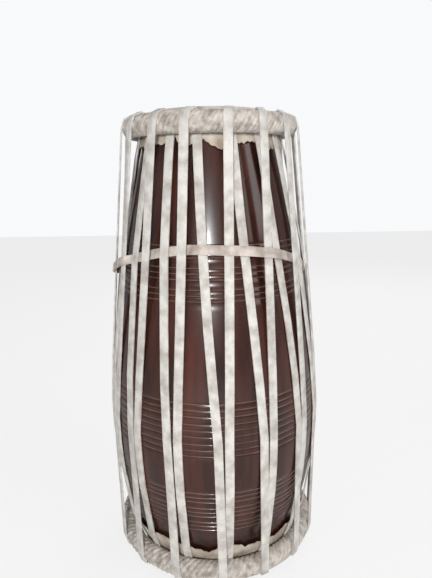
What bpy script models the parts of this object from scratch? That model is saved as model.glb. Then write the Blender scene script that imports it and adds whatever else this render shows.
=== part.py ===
"""A pakhawaj: a hollow wooden barrel drum with a skin head at each end and hide lacing between them.

It stands on its bass head. Metres, +Z up, origin at the middle of the face that it rests on. Angles are
degrees round the drum, 0 at the front (-Y), growing towards the right (+X).
"""

import math
from dataclasses import dataclass

import bmesh
import bpy
from mathutils import Vector

# Clearance between pieces that lie against each other
GAP = 0.0003

# Turned wooden barrel
LENGTH = 0.620  # floor to the flat of the treble rim skin
BELLY_RADIUS = 0.150
BELLY_HEIGHT = 0.217
TREBLE_RADIUS = 0.082  # outside of the barrel where its wall meets the rim's plane
BASS_RADIUS = 0.110
TREBLE_CURVE = 1.5  # power of the wall's curve from the belly to each end
BASS_CURVE = 2.5
RIM_FILLET = 0.005
RIM_WALL = 0.014
BELLY_WALL = 0.021
BORE_CURVE = 1.8

# Skins of the heads, from the barrel outwards: lining, playing skin, rim skin
SKIN = 0.0012
LINING_REACH = 0.006  # how far the lining lies in over the rim's flat
TREBLE_RIM_SKIN_WIDTH = 0.026
BASS_RIM_SKIN_WIDTH = 0.030
LINING_SKIRT = 0.018
PLAYING_SKIRT = 0.022
RIM_SKIRT = 0.043  # shortest drop of the rim skin's cut edge
RIM_SKIRT_SCALLOP = 0.010

# Tuning paste in the middle of the treble head, in thin layers
PASTE_RADIUS = 0.039
PASTE_LAYERS = 3
PASTE_LAYER = 0.0005
PASTE_LAYER_STEP = 0.006

# Braided hoops round the heads
HOOP_SET_BACK = 0.006  # from the plane of the head to the hoop
TREBLE_HOOP_THICK = 0.022
TREBLE_HOOP_TALL = 0.027
BASS_HOOP_THICK = 0.0216
BASS_HOOP_TALL = 0.028

# Hide lacing between the hoops
HOLES = 16
STRAP_WIDTH = 0.0115
STRAP_THICK = 0.0023
STRAP_CLEARANCE = 0.0009  # under a taut strap, so that its flats clear what bulges beneath
WRAP_CLEARANCE = 0.0006  # between a strap and the hoop that it is wrapped round
LENGTHS = 8  # lengths of hide, which meet end to end under the treble hoop
END_SET_BACK = 0.001  # of each end from the middle of the hoop's inside
TREBLE_FIRST_HOLE = -10.0
BASS_FIRST_HOLE = 4.5
TREBLE_SPLIT = 2.5  # half the angle between the strap's two runs at a treble hole
BASS_SPLIT = 2.0
BELLY_SPLIT = 2.7
BELLY_SHIFT = -1.0
# How far each hole was cut from its even place, from the first hole towards the right
TREBLE_STRAY = (-1.4, 0.6, 0.0, -1.8, 0.4, 0.8, -0.6, 0.5, -0.9, 0.3, 0.7, -0.5, 0.2, -0.4, 0.9, 0.5)
BASS_STRAY = (1.0, 1.2, 2.0, 0.8, -0.5, 0.6, -0.8, 0.4, 0.7, -0.6, -0.3, 0.5, -0.9, 0.3, -2.4, -1.2)

# Waist strap, slung askew and woven through the lacing
WAIST_HEIGHT = 0.409
WAIST_RISE = 0.090  # from the back to the front
WAIST_WIDTH = 0.012
WAIST_SIDE_ROOM = 0.0016  # beyond each edge of a leg before the strap turns past it
WAIST_RUNS = (5, 4, 4, 4, 4, 4, 3, 4)  # legs passed in front, behind, in front and so on
WAIST_LAP_LEGS = 2  # legs over which its ends lap

# Fineness of the meshes
SEGMENTS = 32
FILLET_STEPS = 2
SIDE_STEP = 0.04
BORE_STEPS = 8
HOOP_SIDES = 8
LOWER_STEPS = 4
UPPER_STEPS = 5

SKIN_STEP = SKIN + GAP
SKINS = 3 * SKIN_STEP
SHELL_BOTTOM = SKINS
SHELL_TOP = LENGTH - SKINS


def wall_radius(z):
    """Outside radius of the barrel at height z."""
    if z >= BELLY_HEIGHT:
        share = (z - BELLY_HEIGHT) / (SHELL_TOP - BELLY_HEIGHT)
        return BELLY_RADIUS - (BELLY_RADIUS - TREBLE_RADIUS) * share**TREBLE_CURVE
    share = (BELLY_HEIGHT - z) / (BELLY_HEIGHT - SHELL_BOTTOM)
    return BELLY_RADIUS - (BELLY_RADIUS - BASS_RADIUS) * share**BASS_CURVE


def bore_radius(z):
    """Inside radius of the barrel at height z."""
    belly = BELLY_RADIUS - BELLY_WALL
    if z >= BELLY_HEIGHT:
        share = (z - BELLY_HEIGHT) / (SHELL_TOP - BELLY_HEIGHT)
        return belly - (belly - TREBLE_RADIUS + RIM_WALL) * share**BORE_CURVE
    share = (BELLY_HEIGHT - z) / (BELLY_HEIGHT - SHELL_BOTTOM)
    return belly - (belly - BASS_RADIUS + RIM_WALL) * share**BORE_CURVE


@dataclass(frozen=True)
class Head:
    """One end of the drum. Depths are measured from the barrel's rim towards the belly."""

    name: str
    plane: float  # height of the barrel's rim
    inward: int  # 1 where the barrel rises from the rim, -1 where it hangs from it
    radius: float
    rim_skin_width: float
    hoop_thick: float
    hoop_tall: float

    def height(self, depth):
        return self.plane + self.inward * depth

    def wall(self, depth):
        return wall_radius(self.height(depth))

    @property
    def hoop_depth(self):
        return HOOP_SET_BACK - SKINS + self.hoop_tall / 2

    @property
    def hoop_radius(self):
        """Radius of the hoop's middle: the least at which its section clears the strap inside it."""
        radii = []
        for turn in hoop_turns():
            if math.cos(turn) < -0.1:
                depth = self.hoop_depth - self.hoop_tall / 2 * math.sin(turn)
                inside = self.wall(depth) + SKINS + STRAP_CLEARANCE + STRAP_THICK + WRAP_CLEARANCE
                radii.append(inside - self.hoop_thick / 2 * math.cos(turn))
        return max(radii)


def hoop_turns():
    """Angles of the corners of a hoop's section, from outermost round by the head's side."""
    return [math.tau * side / HOOP_SIDES for side in range(HOOP_SIDES)]


TREBLE = Head(
    "treble", SHELL_TOP, -1, TREBLE_RADIUS, TREBLE_RIM_SKIN_WIDTH, TREBLE_HOOP_THICK, TREBLE_HOOP_TALL
)
BASS = Head("bass", SHELL_BOTTOM, 1, BASS_RADIUS, BASS_RIM_SKIN_WIDTH, BASS_HOOP_THICK, BASS_HOOP_TALL)


def clear_scene():
    for item in list(bpy.data.objects):
        bpy.data.objects.remove(item)


def material(name, colour, roughness, metallic=0.0):
    made = bpy.data.materials.new(name)
    made.use_nodes = True
    shader = made.node_tree.nodes["Principled BSDF"]
    shader.inputs["Base Color"].default_value = (*colour, 1.0)
    shader.inputs["Roughness"].default_value = roughness
    shader.inputs["Metallic"].default_value = metallic
    made.diffuse_color = (*colour, 1.0)
    return made


def finish(shape, name, surface):
    """Makes a named object of a bmesh whose faces are all in place."""
    bmesh.ops.remove_doubles(shape, verts=shape.verts, dist=1e-6)
    bmesh.ops.recalc_face_normals(shape, faces=shape.faces)
    mesh = bpy.data.meshes.new(name)
    shape.to_mesh(mesh)
    shape.free()
    mesh.materials.append(surface)
    mesh.shade_smooth()
    mesh.set_sharp_from_angle(angle=math.radians(40))
    made = bpy.data.objects.new(name, mesh)
    bpy.context.scene.collection.objects.link(made)
    return made


def turned(outline):
    """A bmesh of an outline of (radius, height) turned round the drum's axis."""
    shape = bmesh.new()
    corners = [shape.verts.new((radius, 0.0, z)) for radius, z in outline]
    edges = [shape.edges.new(pair) for pair in zip(corners, corners[1:])]
    if outline[0][0] > 0:
        edges.append(shape.edges.new((corners[-1], corners[0])))
    bmesh.ops.spin(
        shape, geom=corners + edges, axis=(0, 0, 1), angle=math.tau, steps=SEGMENTS, use_merge=True
    )
    bmesh.ops.remove_doubles(shape, verts=shape.verts, dist=1e-6)
    return shape


def round_point(angle, radius, z):
    """The point at this angle, in degrees from the front, at this distance from the axis."""
    turn = math.radians(angle)
    return Vector((radius * math.sin(turn), -radius * math.cos(turn), z))


def rim_line(head, offset, inner_radius, depth):
    """(radius, height) points that follow the rim at this offset, from inside it over its edge."""
    centre = head.wall(RIM_FILLET) - RIM_FILLET
    reach = RIM_FILLET + offset
    points = [(inner_radius, head.height(-offset))]
    for step in range(FILLET_STEPS + 1):
        turn = math.pi / 2 * step / FILLET_STEPS
        points.append((centre + reach * math.sin(turn), head.height(RIM_FILLET - reach * math.cos(turn))))
    depths = [edge for edge in (LINING_SKIRT, PLAYING_SKIRT) if edge < depth] + [depth]
    return points + [(head.wall(edge) + offset, head.height(edge)) for edge in depths]


def barrel_side():
    """(radius, height) down the outside of the barrel between its rounded rims."""
    top = SHELL_TOP - RIM_FILLET
    bottom = SHELL_BOTTOM + RIM_FILLET
    steps = math.ceil((top - bottom) / SIDE_STEP)
    heights = [top + (bottom - top) * step / steps for step in range(1, steps)]
    return [(wall_radius(z), z) for z in heights]


def make_barrel():
    bore = []
    for step in range(1, BORE_STEPS):
        z = SHELL_BOTTOM + (SHELL_TOP - SHELL_BOTTOM) * step / BORE_STEPS
        bore.append((bore_radius(z), z))
    over_top = rim_line(TREBLE, 0.0, bore_radius(SHELL_TOP), RIM_FILLET)[:-1]
    under_bottom = rim_line(BASS, 0.0, bore_radius(SHELL_BOTTOM), RIM_FILLET)[:-1]
    outline = over_top + barrel_side() + under_bottom[::-1] + bore
    finish(turned(outline), "barrel", material("varnished wood", (0.085, 0.026, 0.018), 0.22))


def skin_outline(head, layer, inner_radius, skirt):
    """The section of one skin: layer 0 lies on the barrel, and each next one on the last."""
    offset = GAP + layer * SKIN_STEP
    over = rim_line(head, offset + SKIN, inner_radius, skirt)
    under = rim_line(head, offset, inner_radius, skirt)
    return over + under[::-1]


def cut_scallops(shape, head):
    """Draws every second stretch of the rim skin's cut edge further down the barrel."""
    for corner in shape.verts:
        depth = head.inward * (corner.co.z - head.plane)
        segment = round(math.atan2(corner.co.y, corner.co.x) / math.tau * SEGMENTS)
        if depth > RIM_SKIRT - GAP and segment % 2:
            radius = math.hypot(corner.co.x, corner.co.y)
            lower = depth + RIM_SKIRT_SCALLOP
            share = (head.wall(lower) + radius - head.wall(depth)) / radius
            corner.co = (corner.co.x * share, corner.co.y * share, head.height(lower))


def make_skins(head, surface):
    lining = skin_outline(head, 0, head.radius - RIM_FILLET - LINING_REACH, LINING_SKIRT)
    finish(turned(lining), f"{head.name}_lining_skin", surface)
    playing = skin_outline(head, 1, 0.0, PLAYING_SKIRT)
    finish(turned(playing), f"{head.name}_playing_skin", surface)
    rim = turned(skin_outline(head, 2, head.radius - head.rim_skin_width, RIM_SKIRT))
    cut_scallops(rim, head)
    finish(rim, f"{head.name}_rim_skin", surface)


def make_paste():
    bottom = TREBLE.height(-2 * SKIN_STEP - GAP)
    outline = [(0.0, bottom), (PASTE_RADIUS, bottom)]
    for layer in range(PASTE_LAYERS):
        radius = PASTE_RADIUS - layer * PASTE_LAYER_STEP
        outline.append((radius, bottom + (layer + 1) * PASTE_LAYER))
        if layer + 1 < PASTE_LAYERS:
            outline.append((radius - PASTE_LAYER_STEP, bottom + (layer + 1) * PASTE_LAYER))
    outline.append((0.0, bottom + PASTE_LAYERS * PASTE_LAYER))
    finish(turned(outline), "treble_tuning_paste", material("tuning paste", (0.012, 0.012, 0.014), 0.6))


def make_hoop(head, surface):
    """A braided hoop. Its inner corners stand back, so that its flats clear the straps inside it."""
    outline = []
    for turn in hoop_turns():
        radius = head.hoop_radius + head.hoop_thick / 2 * math.cos(turn)
        if radius < head.hoop_radius - GAP:
            radius /= math.cos(math.pi / SEGMENTS)
        outline.append((radius, head.height(head.hoop_depth - head.hoop_tall / 2 * math.sin(turn))))
    finish(turned(outline), f"{head.name}_hoop", surface)


def ribbon(name, stations, width, surface):
    """A flat strap through stations of (middle, direction across it)."""
    shape = bmesh.new()
    rings = []
    for number, (middle, across) in enumerate(stations):
        before = stations[max(number - 1, 0)][0]
        after = stations[min(number + 1, len(stations) - 1)][0]
        along = (after - before).normalized()
        side = across.normalized() * width / 2
        proud = side.cross(along).normalized() * STRAP_THICK / 2
        corners = (side + proud, proud - side, -side - proud, side - proud)
        rings.append([shape.verts.new(middle + corner) for corner in corners])
    for ring, following in zip(rings, rings[1:]):
        for corner in range(4):
            beside = (corner + 1) % 4
            shape.faces.new((ring[corner], ring[beside], following[beside], following[corner]))
    shape.faces.new(rings[0])
    shape.faces.new(rings[-1])
    return finish(shape, name, surface)


def treble_hole(number):
    return TREBLE_FIRST_HOLE + 360 / HOLES * number + TREBLE_STRAY[number % HOLES]


def bass_hole(number):
    return BASS_FIRST_HOLE + 360 / HOLES * number + BASS_STRAY[number % HOLES]


def between(value, first, last, first_result, last_result):
    """The result at a value, on the straight line through two others."""
    return first_result + (last_result - first_result) * (value - first) / (last - first)


class Leg:
    """One run of the lacing between the hoops.

    Even legs come down from under the treble hoop to the outside of the bass hoop. Odd ones rise from
    under the bass hoop to the outside of the treble hoop.
    """

    def __init__(self, number):
        self.rising = number % 2 == 1
        self.side = 1 if self.rising else -1
        self.bass = number // 2
        self.treble = self.bass + self.rising
        self.over_waist = passes_over_waist_strap(number)
        self.points = self.supports()

    def angle(self, z):
        low, high = BASS.height(BASS.hoop_depth), TREBLE.height(TREBLE.hoop_depth)
        belly = bass_hole(self.bass) + BELLY_SHIFT + self.side * BELLY_SPLIT
        if z < BELLY_HEIGHT:
            return between(z, low, BELLY_HEIGHT, bass_hole(self.bass) + self.side * BASS_SPLIT, belly)
        return between(z, BELLY_HEIGHT, high, belly, treble_hole(self.treble) - self.side * TREBLE_SPLIT)

    @property
    def crossing(self):
        """Height at which the waist strap meets this leg."""
        return waist_height(self.angle(WAIST_HEIGHT))

    def supports(self):
        """(height, radius) of what the leg's inner face is drawn over, from bass to treble."""
        skirt = RIM_SKIRT + RIM_SKIRT_SCALLOP
        low, high = BASS.height(skirt), TREBLE.height(skirt)
        heights = [low + (BELLY_HEIGHT - low) * step / LOWER_STEPS for step in range(1, LOWER_STEPS)]
        heights += [BELLY_HEIGHT + (high - BELLY_HEIGHT) * step / UPPER_STEPS for step in range(UPPER_STEPS)]
        points = [(z, wall_radius(z) + STRAP_CLEARANCE) for z in heights]
        for head in (BASS, TREBLE):
            for depth in (head.hoop_depth + head.hoop_tall / 2, skirt):
                points.append((head.height(depth), head.wall(depth) + SKINS + STRAP_CLEARANCE))
            outside = self.rising == (head is TREBLE)
            reach = head.hoop_thick / 2 + WRAP_CLEARANCE
            radius = head.hoop_radius + (reach if outside else -reach - STRAP_THICK)
            points.append((head.height(head.hoop_depth), radius))
        if self.over_waist:
            lift = 2 * STRAP_CLEARANCE + STRAP_THICK
            for z in (self.crossing - WAIST_WIDTH / 2, self.crossing + WAIST_WIDTH / 2):
                points.append((z, wall_radius(z) + lift))
        return sorted(points)

    def radius(self, z):
        """Radius of the inner face at height z, with the leg drawn tight over its supports."""
        lower = [point for point in self.points if point[0] <= z]
        upper = [point for point in self.points if point[0] > z]
        radii = [radius for height, radius in self.points if height == z]
        for low, low_radius in lower:
            for high, high_radius in upper:
                radii.append(between(z, low, high, low_radius, high_radius))
        return max(radii)

    def stations(self):
        made = []
        for z, _ in self.points:
            angle = self.angle(z)
            middle = round_point(angle, self.radius(z) + STRAP_THICK / 2, z)
            made.append((middle, round_point(angle + 90, 1.0, 0.0)))
        return made if self.rising else made[::-1]


def passes_over_waist_strap(number):
    """Whether the waist strap is behind the leg of this number."""
    passed = 0
    for run, legs in enumerate(WAIST_RUNS):
        passed += legs
        if number < passed:
            return run % 2 == 1
    return False


def wrap(head, hole, split):
    """Stations round a hoop at a hole, from its outside by the head's side to its inside."""
    made = []
    reach = WRAP_CLEARANCE + STRAP_THICK / 2
    for turn in hoop_turns()[1 : HOOP_SIDES // 2]:
        angle = hole - split * math.cos(turn)
        radius = head.hoop_radius + (head.hoop_thick / 2 + reach) * math.cos(turn)
        depth = head.hoop_depth - (head.hoop_tall / 2 + reach) * math.sin(turn)
        made.append((round_point(angle, radius, head.height(depth)), round_point(angle + 90, 1.0, 0.0)))
    return made


def make_lacing(legs, surface):
    """The lacing, in lengths that each start and end inside the treble hoop."""
    each = HOLES // LENGTHS
    set_back = Vector((0, 0, END_SET_BACK))
    for length in range(LENGTHS):
        stations = []
        for hole in range(length * each, (length + 1) * each):
            stations += legs[2 * hole].stations()
            stations += wrap(BASS, bass_hole(hole), BASS_SPLIT)
            stations += legs[2 * hole + 1].stations()
            stations += wrap(TREBLE, treble_hole(hole + 1), TREBLE_SPLIT)
        stations.append(legs[2 * (length + 1) * each % len(legs)].stations()[0])
        stations[0] = (stations[0][0] - set_back, stations[0][1])
        stations[-1] = (stations[-1][0] + set_back, stations[-1][1])
        ribbon(f"lacing_{length + 1}", stations, STRAP_WIDTH, surface)


def waist_height(angle):
    return WAIST_HEIGHT + WAIST_RISE / 2 * math.cos(math.radians(angle))


def chord_radius(angle, first, last):
    """Distance from the axis, at this angle, of the straight line between two (angle, radius) points."""
    before = math.sin(math.radians(angle - first[0])) / last[1]
    after = math.sin(math.radians(last[0] - angle)) / first[1]
    return math.sin(math.radians(last[0] - first[0])) / (before + after)


def drawn_tight(points):
    """The (angle, radius) points of a strap drawn tight over these."""
    made = []
    for number, (angle, radius) in enumerate(points):
        radii = [radius]
        for first in points[:number]:
            for last in points[number + 1 :]:
                radii.append(chord_radius(angle, first, last))
        made.append((angle, max(radii)))
    return made


def waist_run(legs, in_front):
    """(angle, radius) of the waist strap's inner face, at both edges of each leg of a run."""
    points = []
    for leg in legs:
        z = leg.crossing
        if in_front:
            radius = leg.radius(z) + STRAP_THICK + STRAP_CLEARANCE
        else:
            radius = wall_radius(z) + STRAP_CLEARANCE
        reach = math.degrees((STRAP_WIDTH / 2 + WAIST_SIDE_ROOM) / radius)
        points += [(leg.angle(z) - reach, radius), (leg.angle(z) + reach, radius)]
    return drawn_tight(points) if in_front else points


def make_waist_strap(legs, surface):
    """The waist strap. Its ends lap over the first legs of the run in front that is at the back."""
    points = []
    first_run = len(WAIST_RUNS) // 2
    for number in range(len(WAIST_RUNS)):
        run = (first_run + number) % len(WAIST_RUNS)
        first = sum(WAIST_RUNS[:run])
        turns = 360 if run < first_run else 0
        for angle, radius in waist_run(legs[first : first + WAIST_RUNS[run]], run % 2 == 0):
            points.append((angle + turns, radius))
    lap = points[: 2 * WAIST_LAP_LEGS]
    points += [(angle + 360, radius + STRAP_THICK + WRAP_CLEARANCE) for angle, radius in lap]
    stations = []
    for angle, radius in points:
        z = waist_height(angle)
        lean = (wall_radius(z + WAIST_WIDTH / 2) - wall_radius(z - WAIST_WIDTH / 2)) / WAIST_WIDTH
        stations.append((round_point(angle, radius + STRAP_THICK / 2, z), round_point(angle, lean, 1.0)))
    ribbon("waist_strap", stations, WAIST_WIDTH, surface)


def main():
    clear_scene()
    head_skin = material("head skin", (0.62, 0.53, 0.42), 0.55)
    braid = material("braided hide", (0.42, 0.33, 0.25), 0.7)
    hide = material("hide strap", (0.72, 0.66, 0.57), 0.6)
    waist_hide = material("waist strap hide", (0.55, 0.44, 0.36), 0.7)
    make_barrel()
    for head in (TREBLE, BASS):
        make_skins(head, head_skin)
        make_hoop(head, braid)
    make_paste()
    legs = [Leg(number) for number in range(2 * HOLES)]
    make_lacing(legs, hide)
    make_waist_strap(legs, waist_hide)


main()
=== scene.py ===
import math

import bmesh
import bpy
from mathutils import Matrix, Vector, noise


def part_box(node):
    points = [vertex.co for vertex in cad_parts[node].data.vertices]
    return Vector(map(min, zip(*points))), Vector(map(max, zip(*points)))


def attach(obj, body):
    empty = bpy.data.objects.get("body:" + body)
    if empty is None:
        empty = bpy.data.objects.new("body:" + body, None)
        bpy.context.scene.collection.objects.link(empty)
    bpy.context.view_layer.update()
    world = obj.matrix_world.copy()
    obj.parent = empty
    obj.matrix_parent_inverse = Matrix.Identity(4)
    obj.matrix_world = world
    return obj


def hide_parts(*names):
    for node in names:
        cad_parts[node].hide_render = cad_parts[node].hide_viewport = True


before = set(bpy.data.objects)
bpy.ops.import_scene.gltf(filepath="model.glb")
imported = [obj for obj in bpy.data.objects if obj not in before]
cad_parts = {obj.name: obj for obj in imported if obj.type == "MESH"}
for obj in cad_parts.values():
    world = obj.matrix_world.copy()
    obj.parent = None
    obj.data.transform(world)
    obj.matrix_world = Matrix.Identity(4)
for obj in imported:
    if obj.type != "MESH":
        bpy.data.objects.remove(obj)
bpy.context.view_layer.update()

# The barrel in metres, as the frame has it
LENGTH = 0.620
SKINS = 0.0045  # the three skins of a head and their gaps
BELLY_RADIUS = 0.150
BELLY_HEIGHT = 0.217
TREBLE_RADIUS = 0.082
BASS_RADIUS = 0.110
TREBLE_CURVE = 1.5  # power of the wall's curve from the belly to each end
BASS_CURVE = 2.5
RIM_FILLET = 0.005
RIM_WALL = 0.014
BORE = ((0.122, 0.11), (0.129, BELLY_HEIGHT), (0.118, 0.35), (0.095, 0.5))  # (radius, height), going up
SHELL_TOP = LENGTH - SKINS
SHELL_BOTTOM = SKINS

# Scribed rings: groups of three sets of three grooves, as (height, pitch of the sets, pitch in a set)
GROOVE_GROUPS = (
    (0.424, 0.0258, 0.0069),
    (0.232, 0.0263, 0.0082),
    (0.113, 0.0236, 0.0068),
)
GROOVE_WIDTH = 0.0012
GROOVE_DEPTH = 0.0005
GROOVE_ROOM = 1.2  # widths on each side of a groove that hold no other point of the wall
GROOVE_OUTLINE = ((-1, 0), (-0.55, 0.4), (0, 1), (0.55, 0.4), (1, 0))  # (half widths, depths)
DUST_DEPTHS = (0.2, 2)  # groove depths between which a point of the wall counts as dusty

# Rim skins, whose cut edges hang below the hoops
SKIN = 0.0012
TREBLE_RIM_SKIN_WIDTH = 0.024
BASS_RIM_SKIN_WIDTH = 0.028
TREBLE_SKIRT = 0.036
BASS_SKIRT = 0.041
SKIRT_UNEVEN = 0.007  # what the shares of the scallops, tears and nicks below are taken of
SCALLOPS = 16
SCALLOP_START = 0.6
SCALLOP_POWER = 0.7
SCALLOP_SHARE = 0.8
TEAR_SHARE = 1.1
TEAR_SCALE = 3
TREBLE_TEAR_SEED = 5.0
BASS_TEAR_SEED = 9.0
NICK_SHARE = 0.6
NICK_SCALE = 22
NICK_SEED = 2.0

# Twisted strands of the hoops
HOOP_THICK = 0.022
STRANDS = 6
STRAND_TURNS = 19
STRAND_SHARE = 0.30  # a strand's thickness as a share of the hoop's
STRAND_UNEVEN = 0.06
STRAND_UNEVEN_SCALE = 160

# Lacing and waist strap
LENGTHS = 8
EDGE_WEAR = 0.0006
EDGE_ANGLE = 60  # degrees, above which an edge is worn round
FLAT_ANGLE = 1  # degrees between faces that count as one flat
MERGE = 1e-5

# Fineness of the meshes
ROUND_STEPS = 192
RIM_STEPS = 6
WALL_STEPS = 60
SKIRT_ROUND_STEPS = 4 * ROUND_STEPS
SKIRT_STEPS = 5
STRAND_STEPS = 720
STRAND_SIDES = 10
EDGE_STEPS = 3
SMOOTH_ANGLE = 50  # degrees, above which an edge stays sharp

# Stage
FLOOR_SIZE = 8
FLOOR_DROP = 0.0002  # of the floor below the drum's flat, so that the two faces don't coincide
FLOOR_GLOW = 0.8
WORLD_LIGHT = 0.38
WORLD_SEEN = 0.97

# The camera, fitted to the drum's outline in the photograph
FOCAL_PIXELS = 500
PHOTO_LONG_SIDE = 578
SENSOR_WIDTH = 36  # millimetres
CAMERA_PLACE = (0.0052, -0.7092, 0.5390)
CAMERA_DOWN = 0.2235  # radians
CAMERA_ROLL = -0.0154  # radians


def wall_radius(z):
    """The outside of the barrel at a height."""
    if z >= BELLY_HEIGHT:
        share = (z - BELLY_HEIGHT) / (SHELL_TOP - BELLY_HEIGHT)
        return BELLY_RADIUS - (BELLY_RADIUS - TREBLE_RADIUS) * min(share, 1) ** TREBLE_CURVE
    share = (BELLY_HEIGHT - z) / (BELLY_HEIGHT - SHELL_BOTTOM)
    return BELLY_RADIUS - (BELLY_RADIUS - BASS_RADIUS) * min(share, 1) ** BASS_CURVE


def new_material(name):
    made = bpy.data.materials.new(name)
    made.use_nodes = True
    return made, made.node_tree.nodes, made.node_tree.links


def hide_grain():
    """A node group: blotches, fine speckle and a relief for dried hide."""
    group = bpy.data.node_groups.new("hide_grain", "ShaderNodeTree")
    for name in ("Blotch Scale", "Fine Scale"):
        group.interface.new_socket(name, in_out="INPUT", socket_type="NodeSocketFloat")
    for name in ("Blotch", "Fine", "Relief"):
        group.interface.new_socket(name, in_out="OUTPUT", socket_type="NodeSocketFloat")
    nodes, links = group.nodes, group.links
    entry = nodes.new("NodeGroupInput")
    leave = nodes.new("NodeGroupOutput")
    place = nodes.new("ShaderNodeTexCoord")
    blotch = nodes.new("ShaderNodeTexNoise")
    blotch.inputs["Detail"].default_value = 6
    fine = nodes.new("ShaderNodeTexNoise")
    fine.inputs["Detail"].default_value = 8
    fine.inputs["Roughness"].default_value = 0.7
    relief = nodes.new("ShaderNodeMath")
    relief.operation = "MULTIPLY_ADD"
    relief.inputs[1].default_value = 0.5
    for texture, socket in ((blotch, "Blotch Scale"), (fine, "Fine Scale")):
        links.new(place.outputs["Object"], texture.inputs["Vector"])
        links.new(entry.outputs[socket], texture.inputs["Scale"])
    links.new(blotch.outputs["Fac"], relief.inputs[0])
    links.new(fine.outputs["Fac"], relief.inputs[2])
    links.new(blotch.outputs["Fac"], leave.inputs["Blotch"])
    links.new(fine.outputs["Fac"], leave.inputs["Fine"])
    links.new(relief.outputs[0], leave.inputs["Relief"])
    return group


def hide_material(name, dark, light, roughness, blotch_scale, fine_scale, relief, sheen):
    """Dried hide whose colour runs from dark to light over blotches and speckle."""
    made, nodes, links = new_material(name)
    shader = nodes["Principled BSDF"]
    shader.inputs["Roughness"].default_value = roughness
    shader.inputs["Sheen Weight"].default_value = sheen
    grain = nodes.new("ShaderNodeGroup")
    grain.node_tree = bpy.data.node_groups.get("hide_grain") or hide_grain()
    grain.inputs["Blotch Scale"].default_value = blotch_scale
    grain.inputs["Fine Scale"].default_value = fine_scale
    colours = nodes.new("ShaderNodeValToRGB")
    low, high = colours.color_ramp.elements
    low.position = 0.32
    low.color = (*dark, 1)
    high.position = 0.62
    high.color = (*light, 1)
    speckle = nodes.new("ShaderNodeMix")
    speckle.data_type = "RGBA"
    speckle.blend_type = "MULTIPLY"
    speckle.inputs["Factor"].default_value = 0.35
    bump = nodes.new("ShaderNodeBump")
    bump.inputs["Strength"].default_value = relief
    bump.inputs["Distance"].default_value = 0.001
    links.new(grain.outputs["Blotch"], colours.inputs["Fac"])
    links.new(colours.outputs["Color"], speckle.inputs["A"])
    links.new(grain.outputs["Fine"], speckle.inputs["B"])
    links.new(speckle.outputs["Result"], shader.inputs["Base Color"])
    links.new(grain.outputs["Relief"], bump.inputs["Height"])
    links.new(bump.outputs["Normal"], shader.inputs["Normal"])
    return made


def wood_grain(nodes, links, place):
    """The colour of the turned wood, whose grain runs up the barrel."""
    stretch = nodes.new("ShaderNodeMapping")
    stretch.inputs["Scale"].default_value = (60, 60, 5)
    grain = nodes.new("ShaderNodeTexNoise")
    grain.inputs["Scale"].default_value = 1.0
    grain.inputs["Detail"].default_value = 8
    colours = nodes.new("ShaderNodeValToRGB")
    low, high = colours.color_ramp.elements
    low.position = 0.3
    low.color = (0.012, 0.004, 0.003, 1)
    high.position = 0.75
    high.color = (0.075, 0.021, 0.013, 1)
    links.new(place.outputs["Object"], stretch.inputs["Vector"])
    links.new(stretch.outputs["Vector"], grain.inputs["Vector"])
    links.new(grain.outputs["Fac"], colours.inputs["Fac"])
    return colours.outputs["Color"]


def dusty(nodes, links, place, wood):
    """The wood's colour with pale dust, in patches, where the mesh is marked as a groove."""
    dust = nodes.new("ShaderNodeAttribute")
    dust.attribute_name = "groove"
    patches = nodes.new("ShaderNodeTexNoise")
    patches.inputs["Scale"].default_value = 45
    amount = nodes.new("ShaderNodeMath")
    amount.operation = "MULTIPLY"
    colour = nodes.new("ShaderNodeMix")
    colour.data_type = "RGBA"
    colour.inputs["B"].default_value = (0.30, 0.19, 0.15, 1)
    links.new(place.outputs["Object"], patches.inputs["Vector"])
    links.new(dust.outputs["Fac"], amount.inputs[0])
    links.new(patches.outputs["Fac"], amount.inputs[1])
    links.new(amount.outputs[0], colour.inputs["Factor"])
    links.new(wood, colour.inputs["A"])
    return colour.outputs["Result"]


def varnished_wood():
    """Dark red-brown turned wood under gloss varnish, with dust in its grooves."""
    made, nodes, links = new_material("varnished_wood_finish")
    shader = nodes["Principled BSDF"]
    shader.inputs["Specular IOR Level"].default_value = 0.35
    shader.inputs["Coat Weight"].default_value = 0.2
    shader.inputs["Coat Roughness"].default_value = 0.1
    place = nodes.new("ShaderNodeTexCoord")
    haze = nodes.new("ShaderNodeTexNoise")
    haze.inputs["Scale"].default_value = 9
    gloss = nodes.new("ShaderNodeMapRange")
    gloss.inputs["To Min"].default_value = 0.16
    gloss.inputs["To Max"].default_value = 0.34
    wood = wood_grain(nodes, links, place)
    links.new(place.outputs["Object"], haze.inputs["Vector"])
    links.new(haze.outputs["Fac"], gloss.inputs["Value"])
    links.new(dusty(nodes, links, place, wood), shader.inputs["Base Color"])
    links.new(gloss.outputs["Result"], shader.inputs["Roughness"])
    return made


def loft(name, rings, surface):
    """A closed surface through rings of points, each ring closed and the last joined to the first."""
    shape = bmesh.new()
    made = [[shape.verts.new(point) for point in ring] for ring in rings]
    for ring, following in zip(made, made[1:] + made[:1]):
        for corner in range(len(ring)):
            beside = (corner + 1) % len(ring)
            shape.faces.new((ring[corner], ring[beside], following[beside], following[corner]))
    bmesh.ops.recalc_face_normals(shape, faces=shape.faces)
    mesh = bpy.data.meshes.new(name)
    shape.to_mesh(mesh)
    shape.free()
    mesh.materials.append(surface)
    mesh.shade_smooth()
    mesh.set_sharp_from_angle(angle=math.radians(SMOOTH_ANGLE))
    piece = bpy.data.objects.new(name, mesh)
    bpy.context.scene.collection.objects.link(piece)
    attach(piece, "root")
    return piece


def round_point(turn, radius, z):
    """A point round the drum's axis, whose turn starts at the photographed side."""
    return Vector((radius * math.sin(turn), -radius * math.cos(turn), z))


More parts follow.
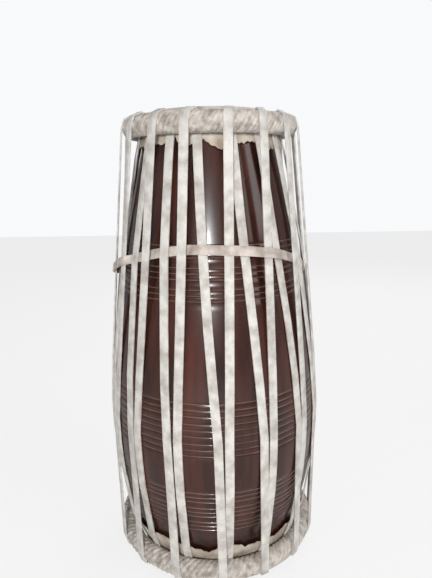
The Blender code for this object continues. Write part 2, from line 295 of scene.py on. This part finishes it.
def turned(name, outline, surface):
    turns = [math.tau * step / ROUND_STEPS for step in range(ROUND_STEPS)]
    return loft(name, [[round_point(turn, r, z) for r, z in outline] for turn in turns], surface)


def rim_plane(top):
    """(height of the barrel's flat end, direction from it into the barrel)."""
    return (SHELL_TOP, -1) if top else (SHELL_BOTTOM, 1)


def rim_arc(top, offset):
    """(radius, height) round the barrel's rim, from its flat to its side."""
    plane, inward = rim_plane(top)
    centre = wall_radius(plane + inward * RIM_FILLET) - RIM_FILLET
    reach = RIM_FILLET + offset
    arc = []
    for step in range(RIM_STEPS + 1):
        turn = math.pi / 2 * step / RIM_STEPS
        depth = RIM_FILLET - reach * math.cos(turn)
        arc.append((centre + reach * math.sin(turn), plane + inward * depth))
    return arc


def groove_heights():
    heights = []
    for middle, set_pitch, pitch in GROOVE_GROUPS:
        for set_step in (-1, 0, 1):
            heights += [middle + set_step * set_pitch + step * pitch for step in (-1, 0, 1)]
    return heights


def grooved_wall():
    """(radius, height) down the barrel's side between its rims, with the scribed rings."""
    side = []
    for step in range(1, WALL_STEPS):
        z = SHELL_TOP - RIM_FILLET + (SHELL_BOTTOM - SHELL_TOP + 2 * RIM_FILLET) * step / WALL_STEPS
        side.append((wall_radius(z), z))
    for height in groove_heights():
        side = [point for point in side if abs(point[1] - height) > GROOVE_WIDTH * GROOVE_ROOM]
        for across, depth in GROOVE_OUTLINE:
            z = height + across * GROOVE_WIDTH / 2
            side.append((wall_radius(z) - depth * GROOVE_DEPTH, z))
    return sorted(side, key=lambda point: -point[1])


def mark_grooves(mesh):
    """Marks the points that lie in a groove, for the dust in the material."""
    shallow, deep = DUST_DEPTHS
    marks = mesh.attributes.new("groove", "FLOAT", "POINT")
    for corner, mark in zip(mesh.vertices, marks.data):
        depth = wall_radius(corner.co.z) - math.hypot(corner.co.x, corner.co.y)
        mark.value = 1.0 if GROOVE_DEPTH * shallow < depth < GROOVE_DEPTH * deep else 0.0


def make_barrel(surface):
    """The hollow turned barrel with its scribed rings."""
    outline = [(TREBLE_RADIUS - RIM_WALL, SHELL_TOP)] + rim_arc(True, 0)
    outline += grooved_wall()
    outline += rim_arc(False, 0)[::-1] + [(BASS_RADIUS - RIM_WALL, SHELL_BOTTOM)]
    outline += BORE
    piece = turned("barrel_shell", outline, surface)
    mark_grooves(piece.data)
    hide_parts("barrel")


def round_noise(turn, scale, seed):
    """Noise that closes on itself round the drum."""
    return noise.noise(Vector((scale * math.sin(turn), scale * math.cos(turn), seed)))


def skirt_drop(turn, top):
    """How far below the head's plane the skin's cut edge hangs at this turn."""
    scallop = abs(math.sin(turn * SCALLOPS / 2 + SCALLOP_START)) ** SCALLOP_POWER
    tear = round_noise(turn, TEAR_SCALE, TREBLE_TEAR_SEED if top else BASS_TEAR_SEED)
    nick = round_noise(turn, NICK_SCALE, NICK_SEED)
    uneven = SCALLOP_SHARE * scallop + TEAR_SHARE * tear + NICK_SHARE * nick
    return (TREBLE_SKIRT if top else BASS_SKIRT) + SKIRT_UNEVEN * uneven


def skin_line(top, width, drop, offset):
    """(radius, height) of one face of the rim skin, from its inner edge over the rim to its cut edge."""
    plane, inward = rim_plane(top)
    arc = rim_arc(top, offset)
    side = []
    for step in range(1, SKIRT_STEPS + 1):
        z = plane + inward * (RIM_FILLET + (drop - RIM_FILLET) * (step / SKIRT_STEPS))
        side.append((wall_radius(z) + offset, z))
    return [(arc[0][0] - width, plane - inward * offset)] + arc + side


def make_rim_skin(name, top, width, surface):
    """The rim skin, whose ragged cut edge hangs below the hoop."""
    beneath = SKINS - SKIN
    rings = []
    for step in range(SKIRT_ROUND_STEPS):
        turn = math.tau * step / SKIRT_ROUND_STEPS
        drop = skirt_drop(turn, top)
        outside = skin_line(top, width, drop, beneath + SKIN)
        inside = skin_line(top, width, drop, beneath)
        rings.append([round_point(turn, r, z) for r, z in outside + inside[::-1]])
    piece = loft(name + "_flaps", rings, surface)
    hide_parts(name)


def strand_path(strand, centre, middle, tall):
    """The middle line of one strand, which winds round the middle of the hoop."""
    path = []
    for step in range(STRAND_STEPS):
        turn = math.tau * step / STRAND_STEPS
        twist = STRAND_TURNS * turn + math.tau * strand / STRANDS
        across = (1 - STRAND_SHARE) * HOOP_THICK / 2 * math.cos(twist)
        up = (1 - STRAND_SHARE) * tall / 2 * math.sin(twist)
        path.append(round_point(turn, centre + across, middle + up))
    return path


def strand_rings(strand, path, tall):
    """Rings of points round a strand's middle line, of slightly uneven thickness."""
    corners = [math.tau * corner / STRAND_SIDES for corner in range(STRAND_SIDES)]
    rings = []
    for step, point in enumerate(path):
        along = (path[(step + 1) % STRAND_STEPS] - path[step - 1]).normalized()
        out = round_point(math.tau * step / STRAND_STEPS, 1, 0)
        side = along.cross(out).normalized()
        out = side.cross(along).normalized()
        uneven = noise.noise(point * STRAND_UNEVEN_SCALE + Vector((strand, 0, 0)))
        radius = STRAND_SHARE * tall / 2 * (1 + STRAND_UNEVEN * uneven)
        rings.append([point + radius * (out * math.cos(c) + side * math.sin(c)) for c in corners])
    return rings


def make_hoop(name, surface):
    """A hoop of hide strands twisted round each other."""
    low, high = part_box(name)
    tall = high[2] - low[2]
    middle = (high[2] + low[2]) / 2
    centre = high[0] - HOOP_THICK / 2
    first = None
    for strand in range(STRANDS):
        rings = strand_rings(strand, strand_path(strand, centre, middle, tall), tall)
        piece = loft(f"{name}_strand_{strand + 1}", rings, surface)
        first = first or piece
    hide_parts(name)


def make_strap(node, surface):
    """A strap along its own route, with worn round edges."""
    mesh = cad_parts[node].data.copy()
    piece = bpy.data.objects.new(node + "_hide", mesh)
    bpy.context.scene.collection.objects.link(piece)
    shape = bmesh.new()
    shape.from_mesh(mesh)
    bmesh.ops.remove_doubles(shape, verts=shape.verts, dist=MERGE)
    flat = math.radians(FLAT_ANGLE)
    bmesh.ops.dissolve_limit(shape, angle_limit=flat, verts=shape.verts, edges=shape.edges)
    shape.to_mesh(mesh)
    shape.free()
    mesh.materials.clear()
    mesh.materials.append(surface)
    bevel = piece.modifiers.new("worn edges", "BEVEL")
    bevel.width = EDGE_WEAR
    bevel.segments = EDGE_STEPS
    bevel.limit_method = "ANGLE"
    bevel.angle_limit = math.radians(EDGE_ANGLE)
    mesh.shade_smooth()
    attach(piece, "root")
    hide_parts(node)


def area_light(name, place, target, size, power):
    light = bpy.data.lights.new(name, "AREA")
    light.shape = "RECTANGLE"
    light.size, light.size_y = size
    light.energy = power
    lamp = bpy.data.objects.new(name, light)
    bpy.context.scene.collection.objects.link(lamp)
    lamp.location = place
    lamp.rotation_euler = (Vector(target) - Vector(place)).to_track_quat("-Z", "Y").to_euler()


def floor_paint():
    """Pale paint that the camera sees still paler, so that the floor nearly meets the backdrop."""
    made, nodes, links = new_material("floor_paint")
    paint = nodes["Principled BSDF"]
    paint.inputs["Base Color"].default_value = (0.80, 0.80, 0.79, 1)
    paint.inputs["Roughness"].default_value = 0.8
    glow = nodes.new("ShaderNodeEmission")
    glow.inputs["Color"].default_value = (0.97, 0.97, 0.97, 1)
    ray = nodes.new("ShaderNodeLightPath")
    share = nodes.new("ShaderNodeMath")
    share.operation = "MULTIPLY"
    share.inputs[1].default_value = FLOOR_GLOW
    both = nodes.new("ShaderNodeMixShader")
    links.new(ray.outputs["Is Camera Ray"], share.inputs[0])
    links.new(share.outputs[0], both.inputs["Fac"])
    links.new(paint.outputs["BSDF"], both.inputs[1])
    links.new(glow.outputs["Emission"], both.inputs[2])
    links.new(both.outputs["Shader"], nodes["Material Output"].inputs["Surface"])
    return made


def make_floor():
    bpy.ops.mesh.primitive_plane_add(size=FLOOR_SIZE, location=(0, 0, -FLOOR_DROP))
    floor = bpy.context.object
    floor.name = "floor"
    floor.data.materials.append(floor_paint())


def make_world():
    """A pale backdrop, brighter to the camera than as a light on the drum."""
    world = bpy.data.worlds.new("studio")
    bpy.context.scene.world = world
    world.use_nodes = True
    nodes, links = world.node_tree.nodes, world.node_tree.links
    nodes["Background"].inputs["Color"].default_value = (0.97, 0.98, 1.0, 1)
    ray = nodes.new("ShaderNodeLightPath")
    level = nodes.new("ShaderNodeMapRange")
    level.inputs["To Min"].default_value = WORLD_LIGHT
    level.inputs["To Max"].default_value = WORLD_SEEN
    links.new(ray.outputs["Is Camera Ray"], level.inputs["Value"])
    links.new(level.outputs["Result"], nodes["Background"].inputs["Strength"])


def make_stage():
    make_floor()
    make_world()
    area_light("key", place=(-0.10, -1.7, 0.78), target=(0, 0, 0.40), size=(0.05, 0.3), power=21)
    area_light("fill", place=(1.7, -0.9, 1.3), target=(0, 0, 0.4), size=(0.9, 0.9), power=9)
    area_light("back", place=(0.6, 1.6, 1.6), target=(0, 0, 0.4), size=(1.2, 1.2), power=14)


def make_camera():
    lens = bpy.data.cameras.new("camera")
    lens.sensor_width = SENSOR_WIDTH
    lens.lens = FOCAL_PIXELS / PHOTO_LONG_SIDE * lens.sensor_width
    camera = bpy.data.objects.new("camera", lens)
    bpy.context.scene.collection.objects.link(camera)
    turn = Matrix.Rotation(math.pi / 2 - CAMERA_DOWN, 4, "X") @ Matrix.Rotation(CAMERA_ROLL, 4, "Z")
    camera.matrix_world = Matrix.Translation(CAMERA_PLACE) @ turn
    bpy.context.scene.camera = camera


def make_heads():
    """The rim skins, and the finishes of the CAD nodes under and on them."""
    skin = hide_material(
        "head_skin_finish",
        dark=(0.36, 0.27, 0.19),
        light=(0.78, 0.70, 0.60),
        roughness=0.55,
        blotch_scale=38,
        fine_scale=420,
        relief=0.5,
        sheen=0.1,
    )
    paste = hide_material(
        "paste_finish",
        dark=(0.006, 0.006, 0.007),
        light=(0.03, 0.03, 0.034),
        roughness=0.5,
        blotch_scale=60,
        fine_scale=900,
        relief=0.6,
        sheen=0.0,
    )
    make_rim_skin("treble_rim_skin", True, TREBLE_RIM_SKIN_WIDTH, skin)
    make_rim_skin("bass_rim_skin", False, BASS_RIM_SKIN_WIDTH, skin)
    for node in ("treble_lining_skin", "treble_playing_skin", "bass_lining_skin", "bass_playing_skin"):
        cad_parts[node].material_slots[0].material = skin
    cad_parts["treble_tuning_paste"].material_slots[0].material = paste


def make_hoops():
    braid = hide_material(
        "braid_finish",
        dark=(0.34, 0.29, 0.25),
        light=(0.74, 0.68, 0.61),
        roughness=0.7,
        blotch_scale=110,
        fine_scale=700,
        relief=0.9,
        sheen=0.2,
    )
    make_hoop("treble_hoop", braid)
    make_hoop("bass_hoop", braid)


def make_straps():
    strap = hide_material(
        "strap_finish",
        dark=(0.52, 0.47, 0.42),
        light=(0.84, 0.81, 0.76),
        roughness=0.65,
        blotch_scale=60,
        fine_scale=900,
        relief=0.9,
        sheen=0.15,
    )
    waist = hide_material(
        "waist_finish",
        dark=(0.36, 0.29, 0.25),
        light=(0.78, 0.69, 0.62),
        roughness=0.7,
        blotch_scale=55,
        fine_scale=900,
        relief=0.9,
        sheen=0.15,
    )
    for number in range(1, LENGTHS + 1):
        make_strap(f"lacing_{number}", strap)
    make_strap("waist_strap", waist)


def main():
    make_camera()
    make_stage()
    make_barrel(varnished_wood())
    make_heads()
    make_hoops()
    make_straps()
    bpy.context.scene.view_settings.view_transform = "Standard"


main()
bpy.context.view_layer.update()
